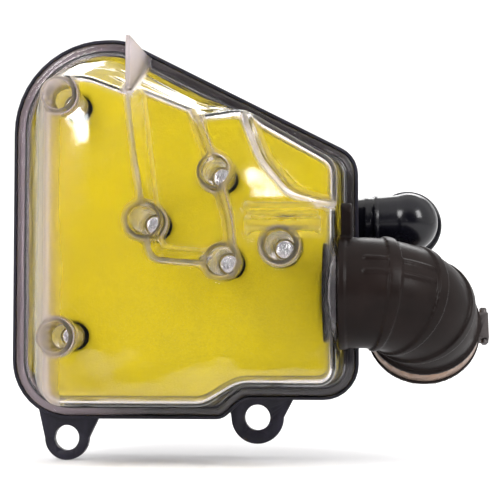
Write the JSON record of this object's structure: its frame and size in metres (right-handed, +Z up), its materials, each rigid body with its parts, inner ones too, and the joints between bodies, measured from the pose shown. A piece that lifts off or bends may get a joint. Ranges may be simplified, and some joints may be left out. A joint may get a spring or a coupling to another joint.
{
  "type": "air filter housing",
  "caption": "Clear-covered air filter box with a foam element, a rubber inlet elbow, a rubber outlet elbow with a band clamp, and fixing ears, for a small engine.",
  "frame": {"origin": "centre of the left fixing ear's hole, in the plane where the cover meets the tray", "axes": "+Z up, the clear cover faces -Y, the outlet boot leaves towards +X"},
  "size_m": [0.2438, 0.108, 0.2174],
  "materials": {
    "back_housing": "satin moulded plastic",
    "rim_gasket": "pale sponge rubber",
    "support_grid": "satin moulded plastic",
    "foam_element": "open-cell foam",
    "clear_cover": "clear moulded plastic, glossy",
    "carb_boot": "semi-gloss moulded rubber",
    "clamp_band": "yellowed zinc plate",
    "clamp_housing": "zinc plate",
    "clamp_screw": "zinc plate",
    "snorkel": "glossy moulded rubber",
    "cover_screws": "bright zinc plate",
    "screw_washers": "bright zinc plate"
  },
  "bodies": {
    "tray": {"back_housing": "back_housing", "rim_gasket": "rim_gasket", "support_grid": "support_grid"},
    "cover": {"clear_cover": "clear_cover", "carb_boot": "carb_boot", "clamp_band": "clamp_band", "clamp_housing": "clamp_housing", "cover_screw_1": "cover_screws", "cover_screw_2": "cover_screws", "cover_screw_3": "cover_screws", "cover_screw_4": "cover_screws", "cover_screw_5": "cover_screws", "cover_screw_6": "cover_screws", "screw_washer_1": "screw_washers", "screw_washer_2": "screw_washers", "screw_washer_3": "screw_washers", "screw_washer_4": "screw_washers", "screw_washer_5": "screw_washers", "screw_washer_6": "screw_washers"},
    "element": {"foam_element": "foam_element"},
    "snorkel_elbow": {"snorkel": "snorkel"},
    "clamp_worm": {"clamp_screw": "clamp_screw"}
  },
  "joints": [
    {"name": "cover_lift", "type": "slide", "parent": "tray", "child": "cover", "axis": [0, -1, 0], "range_m": [0, 0.11]},
    {"name": "element_lift", "type": "slide", "parent": "tray", "child": "element", "axis": [0, -1, 0], "range_m": [0, 0.055]},
    {"name": "snorkel_swivel", "type": "hinge", "parent": "tray", "child": "snorkel_elbow", "pos_m": [0.176, 0.02275, 0.1116], "axis": [1, 0, 0], "range_deg": [-10, 75]},
    {"name": "clamp_screw_turn", "type": "hinge", "parent": "cover", "child": "clamp_worm", "pos_m": [0.2135, 0.00253, 0.05653], "axis": [0, -0.4462, -0.8949], "continuous": true}
  ],
  "couplings": [
    {"joint": "element_lift", "follows": "cover_lift", "ratio": 0.5}
  ]
}
